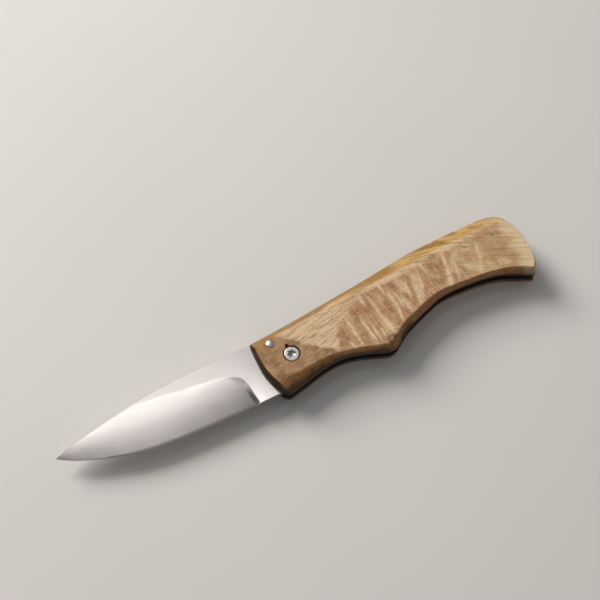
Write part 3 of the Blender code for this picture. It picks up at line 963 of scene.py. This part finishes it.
def blade_finish():
    """Satin steel, drawn lengthwise and faintly clouded by handling, and smoother at the ricasso."""
    steel = Finish("blade_steel", 1.0)
    lines = steel.noise(steel.vector("MULTIPLY", steel.place, (0.10, 1.0, 1.0)), 0.16, 2.0, 0.6)
    mist = steel.noise(steel.place, 6.0, 4.0, 0.6)
    grit = steel.noise(steel.place, 0.12, 2.0, 0.6)
    # Painted shade in the plunge's lower corner
    plunge_shade = steel.patch(steel.place, (plunge_shade_place,), 0.95, 0.75)
    colour = steel.mix(plunge_shade, steel.mix(mist, *blade_tones), plunge_shade_tone)
    rough = steel.plus(steel.ramp(mist, 0.25, 0.75, 0.20, 0.23), steel.times(lines, 0.02))
    rough = steel.minus(rough, steel.ramp(steel.parts(steel.place)[0], -26.0, -14.0, 0.0, 0.085))
    relief = steel.plus(steel.times(lines, 0.7), steel.times(grit, 0.3))
    return steel.finish(colour, rough, relief, depth=0.0000001)


def turned_finish(name, socket=False):
    """Turned steel; the screw's also has painted shade down in its socket."""
    steel = Finish(name, 1.0)
    height = steel.parts(steel.place)[2]
    radius = steel.vector("LENGTH", steel.vector("MULTIPLY", steel.place, in_plane))
    rings = steel.noise(steel.joined(radius, height), 0.10, 2.0, 0.7)
    mist = steel.noise(steel.place, 0.9, 3.0, 0.6)
    colour = steel.mix(mist, *turned_tones)
    if socket:
        top = screw_top * millimetres
        # Painted shade on the socket's walls, less of it on its floor
        inside = steel.times(
            steel.ramp(height, top - 0.12, top - 0.40),
            steel.ramp(radius, 1.75, 1.60),
            steel.ramp(height, top - 0.90, top - 0.82, 0.60, 1.0),
            0.85,
        )
        colour = steel.mix(inside, colour, socket_shade_tone)
    return steel.finish(colour, steel.ramp(mist, 0.2, 0.8, 0.26, 0.34), rings, depth=0.0000002)


def fibre_finish():
    fibre = Finish("black_fibre")
    laid = fibre.noise(fibre.vector("MULTIPLY", fibre.place, (0.25, 0.25, 3.0)), 0.4, 4.0, 0.65)
    fuzz = fibre.noise(fibre.place, 0.20, 3.0, 0.6)
    colour = fibre.mix(laid, *fibre_tones)
    return fibre.finish(colour, fibre.ramp(fuzz, 0.2, 0.8, 0.50, 0.72), fuzz, depth=0.00001)


def bronze_finish():
    bronze = Finish("bronze", 1.0)
    mist = bronze.noise(bronze.place, 0.8, 3.0, 0.6)
    lines = bronze.noise(bronze.vector("MULTIPLY", bronze.place, (0.15, 1.0, 1.0)), 0.12, 2.0, 0.6)
    colour = bronze.mix(mist, *bronze_tones)
    return bronze.finish(colour, bronze.ramp(mist, 0.2, 0.8, 0.28, 0.45), lines, depth=0.000003)


def floor_finish():
    paper = Finish("pale_floor")
    weave = paper.noise(paper.place, 0.5, 3.0, 0.6)
    colour = paper.mix(paper.noise(paper.place, 120.0, 2.0, 0.5), *floor_tones)
    return paper.finish(colour, 0.85, weave, depth=0.00002)


# Covers and liners


def cover_mesh(name, outline, flat, inner, outer):
    """A cover between two heights, with its rounded bevel at its outer face."""
    up = 1 if outer > inner else -1
    rise = cover_thickness - cover_edge
    layers = [(outline, inner), (outline, inner + up * cover_edge)]
    for inward, share in crown_shares:
        between = [edge.lerp(top, inward) for edge, top in zip(outline, flat)]
        layers.append((between, inner + up * (cover_edge + share * rise)))
    return stack_mesh(name, layers)


def build_front_cover(outline, flat, wood, pin_places):
    mesh = cover_mesh("front_cover", outline, flat, front_inner, front_face)
    front = make_object("front_cover_wood", mesh, wood)
    low = front_inner - cut_overrun
    high = front_face + cut_overrun
    tools = [
        drill(bore_radius, low, high),
        drill(head_radius + head_gap, screw_floor, high, mouth=front_face),
        drill(nick_radius, front_face - nick_depth, high, nick_place),
        drill(stop_bore_radius, low, high, stop_place, mouth=front_face),
    ]
    tools += pin_holes(low, front_inner + spacer_pin_depth, pin_places)
    place_piece(baked(front, tools), "handle", "front_cover", slot="figured_wood")


def build_back_cover(outline, flat, wood, pin_places):
    mesh = cover_mesh("back_cover", outline, flat, cover_thickness, 0)
    back = make_object("back_cover_wood", mesh, wood)
    low = -cut_overrun
    high = cover_thickness + cut_overrun
    tools = [
        drill(bore_radius, low, high),
        drill(head_radius + pin_play, low, head_height),
        drill(stop_bore_radius, cover_thickness - stop_depth, high, stop_place),
    ]
    tools += pin_holes(cover_thickness - spacer_pin_depth, high, pin_places)
    place_piece(baked(back, tools), "handle", "back_cover", slot="figured_wood")


def build_liners(outline, fibre, pin_places):
    for node, height in (("back_liner", cover_thickness), ("front_liner", slot_roof)):
        mesh = stack_mesh(node, [(outline, height), (outline, height + liner_thickness)])
        liner = make_object(node + "_fibre", mesh, fibre)
        low = height - cut_overrun
        high = height + liner_thickness + cut_overrun
        tools = [drill(bore_radius, low, high), drill(stop_bore_radius, low, high, stop_place)]
        tools += pin_holes(low, high, pin_places)
        place_piece(baked(liner, tools), "handle", node, slot="black_fibre")


# Blade


def height_at(path, along):
    """How high a path of points runs at this distance along it."""
    for start, end in zip(path, path[1:]):
        if start.x <= along <= end.x:
            share = (along - start.x) / (end.x - start.x)
            return start.y + share * (end.y - start.y)
    return path[-1].y


def blade_line(shares):
    points = [(along * blade_length, up * blade_height) for along, up in shares]
    return smooth_path(points, line_steps)


def bevel_stations():
    """Distances of the blade's cross-sections from the pivot, close together in the plunge."""
    start = grind_shares[0][0] * blade_length
    last = last_station_share * blade_length
    near = [start] + [start + share * plunge_radius for share in plunge_step_shares]
    run = last - near[-1]
    far = [near[-1] + run * step / blade_steps for step in range(1, blade_steps + 1)]
    return near + far


def bevel_drop(down):
    """How far the bevel has thinned the blade at this share of the way down, rounded at its top."""
    soft = (math.hypot(down, grind_round) - grind_round) / (math.hypot(1, grind_round) - grind_round)
    return soft * (1 - bevel_belly) + soft * soft * bevel_belly


def station_rows(along, first, spine, grind, edge, plunge):
    """One side of a cross-section, from spine to cutting edge: (along, up, half thickness) rows."""
    half_stock = blade_stock / 2
    half_shoulder = shoulder_thickness / 2
    fade = max(0, 1 - (along - first) / plunge_fade) ** 2
    reach = plunge_reach * fade
    spine_up = height_at(spine, along)
    edge_along = along - reach
    edge_up = height_at(edge, edge_along)
    grind_up = height_at(grind, along)
    taper = min(1, (spine_up - edge_up) / (grind_up - edge_up))
    shoulder_up = edge_up + edge_bevel * taper
    top_up = min(grind_up, spine_up - spine_rim)
    half_spine = half_stock * taper
    half_shoulder = min(half_shoulder, half_spine * tip_shoulder_share)
    above = spine_up - top_up
    ease = min(spine_ease, half_spine * ease_share, above * ease_share)
    rows = [
        (along, spine_up, half_spine - ease),
        (along, spine_up - ease, half_spine),
    ]
    rows += [(along, top_up + min(most, above * share), half_spine) for most, share in flat_rows]
    for down, back in plunge:
        row_along = along - back * reach
        up = top_up + down * (shoulder_up - top_up)
        half = half_spine + bevel_drop(down) * (half_shoulder - half_spine)
        wall = first - back * plunge_reach
        depth = min(1, (row_along - wall) / plunge_radius)
        fillet = 1 - math.sqrt(1 - (1 - depth) ** 2)
        rows.append((row_along, up, half + (half_stock - half) * fillet))
    is_heel = along == first
    rows.append((edge_along, edge_up, half_stock if is_heel else 0))
    return rows


def arc(radius, start, end, steps):
    """Points on a circle about the pivot, from one angle to another, both included."""
    angles = [start + (end - start) * step / steps for step in range(steps + 1)]
    return [Vector((radius * math.cos(angle), radius * math.sin(angle))) for angle in angles]


def shoulder_point(radius, angle, side):
    """Where a tang shoulder that leans on the stop pin at this angle crosses this radius."""
    offset = stop_radius + stop_play
    reach = math.sqrt(radius * radius - offset * offset)
    out = Vector((math.cos(angle), math.sin(angle)))
    across = Vector((-out.y, out.x)) * side
    return out * reach + across * offset


def tang_outline(heel, spine_up):
    """The tang from the heel round under the pivot, up over its back and out to the blade's spine."""
    closed_angle = stop_angle - closing_angle
    low_out = shoulder_point(tang_radius, closed_angle, -1)
    low_in = shoulder_point(relief_radius, closed_angle, -1)
    high_in = shoulder_point(relief_radius, stop_angle, 1)
    out = Vector((math.cos(stop_angle), math.sin(stop_angle)))
    offset = Vector((-out.y, out.x)) * (stop_radius + stop_play)
    high_out = out * (spine_up - offset.y) / out.y + offset
    heel_angle = math.atan2(heel.y, heel.x) + math.acos(tang_radius / heel.length)
    low_angle = math.atan2(low_out.y, low_out.x)
    relief_start = math.atan2(low_in.y, low_in.x)
    relief_end = math.atan2(high_in.y, high_in.x)
    points = arc(tang_radius, heel_angle, low_angle, arc_steps)
    points += arc(relief_radius, relief_start, relief_end, arc_steps)
    points.append(high_out)
    return points


def side_verts(shape, sections, side):
    """The points of one side of the blade, row by row, in each of its cross-sections."""
    verts = []
    for rows in sections:
        verts.append([shape.verts.new((-along, up, side * half)) for along, up, half in rows])
    return verts


def close_grind(shape, upper, lower):
    """Faces over both sides of the blade, along its spine, round its tip and at its heel."""
    tip = shape.verts.new((-blade_length, spine_shares[-1][1] * blade_height, 0))
    for side in (upper, lower):
        for near, far in zip(side, side[1:]):
            for i in range(len(near) - 1):
                shape.faces.new((near[i], near[i + 1], far[i + 1], far[i]))
        for start, end in zip(side[-1], side[-1][1:]):
            shape.faces.new((start, end, tip))
    for i in range(len(upper) - 1):
        shape.faces.new((upper[i][0], upper[i + 1][0], lower[i + 1][0], lower[i][0]))
    shape.faces.new((upper[-1][0], tip, lower[-1][0]))
    shape.faces.new((upper[0][-1], lower[0][-1], upper[1][-1]))


def close_tang(shape, upper, lower, outline):
    """Faces round the tang and where it joins the blade, and its two flats, which are returned."""
    top = ring(shape, outline, blade_stock / 2)
    bottom = ring(shape, outline, -blade_stock / 2)
    flats = [shape.faces.new(top + upper[0][1:]), shape.faces.new(bottom + lower[0][1:])]
    for i in range(len(outline) - 1):
        shape.faces.new((top[i], top[i + 1], bottom[i + 1], bottom[i]))
    shape.faces.new((top[-1], upper[0][1], upper[0][0], lower[0][0], lower[0][1], bottom[-1]))
    shape.faces.new((upper[0][-1], top[0], bottom[0], lower[0][-1]))
    return flats


def blade_mesh(name):
    """The blade at its own mid plane, with the tang as one flat-sided end of the same solid."""
    spine = blade_line(spine_shares)
    grind = blade_line(grind_shares)
    edge = blade_line(edge_shares)
    plunge = [tuple(point) for point in smooth_path(plunge_shares, plunge_steps)]
    stations = bevel_stations()
    sections = [station_rows(along, stations[0], spine, grind, edge, plunge) for along in stations]
    shape = bmesh.new()
    upper = side_verts(shape, sections, 1)
    lower = side_verts(shape, sections, -1)
    for above, below in zip(upper[1:], lower[1:]):
        shape.verts.remove(below[-1])
        below[-1] = above[-1]
    close_grind(shape, upper, lower)
    outline = tang_outline(upper[0][-1].co.xy, spine[0].y)
    flats = close_tang(shape, upper, lower, outline)
    bmesh.ops.translate(shape, verts=shape.verts, vec=(0, 0, middle))
    return mesh_from(name, shape, flats)


def build_blade(steel):
    blade = make_object("blade_ground", blade_mesh("blade"), steel)
    tool = drill(bore_radius, slot_floor - cut_overrun, slot_roof + cut_overrun)
    place_piece(baked(blade, [tool]), "blade", "blade", slot="blade_steel")


# Pins, screw, barrel and washers


def build_screw(steel):
    """The screw, with a six-lobe socket whose walls run down to a coned floor."""
    shank = barrel_radius - barrel_wall - thread_play
    tip = screw_floor - screw_reach
    profile = (
        (0, screw_top),
        (head_radius - head_chamfer, screw_top),
        (head_radius, screw_top - head_chamfer),
        (head_radius, screw_floor),
        (shank, screw_floor),
        (shank, tip),
        (0, tip),
    )
    screw = make_object("pivot_screw_turned", turned_mesh("pivot_screw", eased(profile)), steel)
    place_piece(baked(screw, [socket_tool()]), "handle", "pivot_screw", slot="bright_steel")


def socket_tool():
    """The driver's shape, with round lobes and hollows between them, over a coned floor."""
    points = []
    for step in range(socket_steps):
        angle = 2 * math.pi * step / socket_steps
        wave = math.cos(socket_lobes * angle)
        swing = math.copysign(abs(wave) ** lobe_power, wave)
        radius = socket_radius * (socket_mean + socket_swing * swing)
        points.append(Vector((radius * math.cos(angle), radius * math.sin(angle))))
    floor = screw_top - socket_depth
    layers = [
        (points, screw_top + cut_overrun),
        (points, floor),
        ([point * socket_narrow for point in points], floor - socket_narrow_depth),
        ([point * socket_cone for point in points], floor - socket_cone_depth),
    ]
    return make_object("socket", stack_mesh("socket", layers))


def build_barrel(steel):
    mouth = screw_floor - barrel_short
    inside = barrel_radius - barrel_wall
    shoulder = head_height - pin_play
    profile = (
        (0, barrel_floor),
        (inside, barrel_floor),
        (inside, mouth),
        (barrel_radius, mouth),
        (barrel_radius, shoulder),
        (head_radius, shoulder),
        (head_radius, head_chamfer),
        (head_radius - head_chamfer, 0),
        (0, 0),
    )
    barrel = make_object("pivot_barrel_turned", turned_mesh("pivot_barrel", eased(profile)), steel)
    place_piece(barrel, "handle", "pivot_barrel", slot="bright_steel")


def build_stop_pin(steel):
    rim = front_face + stop_proud
    ball = (stop_radius * stop_radius + stop_dome * stop_dome) / (2 * stop_dome)
    centre = rim + stop_dome - ball
    profile = [(0, rim + stop_dome)]
    for step in range(1, dome_steps + 1):
        radius = stop_radius * step / dome_steps
        profile.append((radius, centre + math.sqrt(ball * ball - radius * radius)))
    low = cover_thickness - stop_depth + pin_play
    profile += [(stop_radius, rim - stop_rim), (stop_radius, low + stop_foot)]
    profile += [(stop_radius - stop_foot, low), (0, low)]
    pin = make_object("stop_pin_turned", turned_mesh("stop_pin", profile, stop_place), steel)
    place_piece(pin, "handle", "stop_pin", slot="bright_steel")


def build_washers(bronze):
    for node, low in (("back_washer", slot_floor), ("front_washer", slot_roof - washer_thickness)):
        high = low + washer_thickness
        profile = ((0, high), (washer_radius, high), (washer_radius, low), (0, low))
        washer = make_object(node + "_ground", turned_mesh(node, profile), bronze)
        tool = drill(bore_radius, low - cut_overrun, high + cut_overrun)
        place_piece(baked(washer, [tool]), "handle", node, slot="bronze")


# Backspacer and its pins, which follow a path


def path_tree(name, inputs):
    """A node tree for a path, with named inputs for its sizes and finish, and what they give."""
    tree = bpy.data.node_groups.new(name, "GeometryNodeTree")
    tree.interface.new_socket("Path", in_out="INPUT", socket_type="NodeSocketGeometry")
    for title, kind in inputs:
        tree.interface.new_socket(title, in_out="INPUT", socket_type="NodeSocket" + kind)
    tree.interface.new_socket("Mesh", in_out="OUTPUT", socket_type="NodeSocketGeometry")
    return tree, add_node(tree, "NodeGroupInput", {}).outputs


def close_tree(tree, mesh, finish):
    """End the tree in real meshes with one finish."""
    real = add_node(tree, "GeometryNodeRealizeInstances", {0: mesh}).outputs[0]
    dressed = add_node(tree, "GeometryNodeSetMaterial", {0: real, "Material": finish}).outputs[0]
    add_node(tree, "NodeGroupOutput", {0: dressed})
    return tree


def strip_tree():
    """A flat strip of even width that follows the path."""
    inputs = (("Width", "Float"), ("Thickness", "Float"), ("Finish", "Material"))
    tree, given = path_tree("strip_along_path", inputs)
    sides = {"Width": given["Width"], "Height": given["Thickness"]}
    section = add_node(tree, "GeometryNodeCurvePrimitiveQuadrilateral", sides).outputs[0]
    path = add_node(tree, "GeometryNodeMeshToCurve", {0: given["Path"]}).outputs[0]
    level = add_node(tree, "GeometryNodeSetCurveNormal", {0: path}, mode="Z_UP").outputs[0]
    sweep = {"Curve": level, "Profile Curve": section, "Fill Caps": True}
    swept = add_node(tree, "GeometryNodeCurveToMesh", sweep).outputs[0]
    return close_tree(tree, swept, given["Finish"])


def pin_tree():
    """A round pin with eased ends stood on each point of the path."""
    inputs = (("Radius", "Float"), ("Length", "Float"), ("Ease", "Float"), ("Finish", "Material"))
    tree, given = path_tree("pins_on_points", inputs)
    less_two_eases = {0: given["Ease"], 1: -2, 2: given["Length"]}
    shorter = add_node(tree, "ShaderNodeMath", less_two_eases, operation="MULTIPLY_ADD").outputs[0]
    bar = {"Vertices": spacer_pin_sides, "Radius": given["Radius"], "Depth": shorter}
    body = add_node(tree, "GeometryNodeMeshCylinder", bar).outputs["Mesh"]
    facing = add_node(tree, "GeometryNodeInputNormal", {}).outputs[0]
    upright = add_node(tree, "ShaderNodeSeparateXYZ", {0: facing}).outputs[2]
    steep = add_node(tree, "ShaderNodeMath", {0: upright}, operation="ABSOLUTE").outputs[0]
    test = {0: steep, 1: spacer_pin_steepness}
    is_end = add_node(tree, "FunctionNodeCompare", test, operation="GREATER_THAN").outputs[0]
    pull = {"Mesh": body, "Selection": is_end, "Offset Scale": given["Ease"]}
    ends = add_node(tree, "GeometryNodeExtrudeMesh", pull).outputs
    squeeze = {"Geometry": ends["Mesh"], "Selection": ends["Top"], "Scale": spacer_pin_end}
    pin = add_node(tree, "GeometryNodeScaleElements", squeeze).outputs[0]
    stood = add_node(tree, "GeometryNodeInstanceOnPoints", {"Points": given["Path"], "Instance": pin})
    return close_tree(tree, stood.outputs[0], given["Finish"])


def grown(name, points, height, tree, sizes):
    """The mesh that the tree makes along these points at this height, baked into a piece."""
    mesh = bpy.data.meshes.new(name)
    spans = [(i, i + 1) for i in range(len(points) - 1)]
    mesh.from_pydata([(point.x, point.y, height) for point in points], spans, [])
    piece = make_object(name, mesh)
    maker = piece.modifiers.new(name, "NODES")
    maker.node_group = tree
    for item in tree.interface.items_tree:
        if item.in_out == "INPUT" and item.name in sizes:
            maker[item.identifier] = sizes[item.name]
    return baked(piece)


def backspacer_line():
    """The middle of the backspacer, half its width inside the back of the handle."""
    back, _ = handle_sides()[-1]
    start, end = backspacer_end_shares
    steps = range(backspacer_steps + 1)
    outer = spread(back, [start + (end - start) * step / backspacer_steps for step in steps])
    return move_left(outer, [backspacer_width / 2] * len(outer))


def build_backspacer(line, fibre, pin_places):
    thickness = slot_width - 2 * backspacer_play
    sizes = {"Width": backspacer_width, "Thickness": thickness, "Finish": fibre}
    spacer = grown("backspacer_fibre", line, middle, strip_tree(), sizes)
    low = slot_floor - cut_overrun
    high = slot_roof + cut_overrun
    tools = pin_holes(low, high, pin_places)
    place_piece(baked(spacer, tools), "handle", "backspacer", slot="black_fibre")


def build_spacer_pins(steel, pin_places):
    low = cover_thickness - spacer_pin_depth + pin_play
    high = front_inner + spacer_pin_depth - pin_play
    sizes = {"Radius": spacer_pin_radius, "Length": high - low}
    sizes.update({"Ease": spacer_pin_ease, "Finish": steel})
    pins = grown("spacer_pins", pin_places, (low + high) / 2, pin_tree(), sizes)
    nodes = ("spacer_pin_rear", "spacer_pin_middle", "spacer_pin_front")
    place_piece(pins, "handle", *nodes, slot="bright_steel")


# Studio


# Places and sizes in metres: each light's name, place, aim, size, power and colour
lights = (
    ("overhead", (-0.06, 0.57, 0.90), (-0.06, 0.0, 0.0), (0.46, 0.50), 0.37, (1.0, 0.96, 0.94)),
    ("strip", (-0.085, 0.276, 0.90), (-0.08, 0.0, 0.0), (0.31, 0.020), 0.173, (1.0, 0.97, 0.95)),
    ("front_box", (-0.14, 0.222, 0.90), (-0.12, 0.0, 0.0), (0.52, 0.080), 0.094, (1.0, 0.97, 0.95)),
    ("key", (-0.50, 1.07, 0.80), (0.0, 0.0, 0.0), (0.70, 0.70), 20.0, (1.0, 0.95, 0.88)),
)
sky_tone = (1.0, 0.98, 0.96)
sky_strength = 0.21
floor_reach = 2.0
floor_drop = 0.00002

# The camera where the photograph was taken: its place, and its right, up and back directions
camera_place = (-0.05199, -0.13088, 0.36157)
camera_right = (0.9194, -0.3933, -0.0017)
camera_up = (0.3569, 0.8327, 0.4234)
camera_back = (-0.1651, -0.3899, 0.9059)
camera_lens = 60
camera_sensor = 36
camera_near = 0.01
camera_far = 10


def place_in_scene(name, thing):
    """An object for this light or camera, in the scene."""
    placed = bpy.data.objects.new(name, thing)
    bpy.context.scene.collection.objects.link(placed)
    return placed


def build_floor():
    shape = bmesh.new()
    bmesh.ops.create_grid(shape, x_segments=4, y_segments=4, size=floor_reach)
    bmesh.ops.translate(shape, verts=shape.verts, vec=(0, 0, -floor_drop))
    floor = make_object("floor", mesh_from("floor", shape), floor_finish())
    if floor.data.polygons[0].normal.z < 0:
        floor.data.flip_normals()


def build_sky():
    world = bpy.data.worlds.new("studio")
    world.use_nodes = True
    sky = world.node_tree.nodes["Background"]
    feed(world.node_tree, sky.inputs["Color"], sky_tone)
    feed(world.node_tree, sky.inputs["Strength"], sky_strength)
    bpy.context.scene.world = world
    bpy.context.scene.view_settings.view_transform = "Standard"


def build_lights():
    for name, place, aim, size, power, colour in lights:
        light = bpy.data.lights.new(name, "AREA")
        light.shape = "RECTANGLE"
        light.size, light.size_y = size
        light.energy = power
        light.color = colour
        lamp = place_in_scene(name, light)
        lamp.location = place
        way = Vector(aim) - Vector(place)
        lamp.rotation_euler = way.to_track_quat("-Z", "Y").to_euler()


def build_camera():
    camera = bpy.data.cameras.new("camera")
    camera.sensor_width = camera_sensor
    camera.lens = camera_lens
    camera.clip_start = camera_near
    camera.clip_end = camera_far
    viewer = place_in_scene("camera", camera)
    turn = Matrix((camera_right, camera_up, camera_back)).transposed()
    viewer.location = camera_place
    viewer.rotation_mode = "QUATERNION"
    viewer.rotation_quaternion = turn.to_quaternion()
    bpy.context.scene.camera = viewer


def main():
    build_camera()
    build_floor()
    build_sky()
    build_lights()
    wood = wood_finish()
    fibre = fibre_finish()
    steel = turned_finish("bright_steel")
    bronze = bronze_finish()
    outline, flat = handle_loops()
    line = backspacer_line()
    pin_places = spread(line, spacer_pin_shares)
    build_blade(blade_finish())
    build_front_cover(outline, flat, wood, pin_places)
    build_back_cover(outline, flat, wood, pin_places)
    build_liners(outline, fibre, pin_places)
    build_backspacer(line, fibre, pin_places)
    build_spacer_pins(steel, pin_places)
    build_screw(turned_finish("screw_steel", socket=True))
    build_barrel(steel)
    build_stop_pin(steel)
    build_washers(bronze)


main()
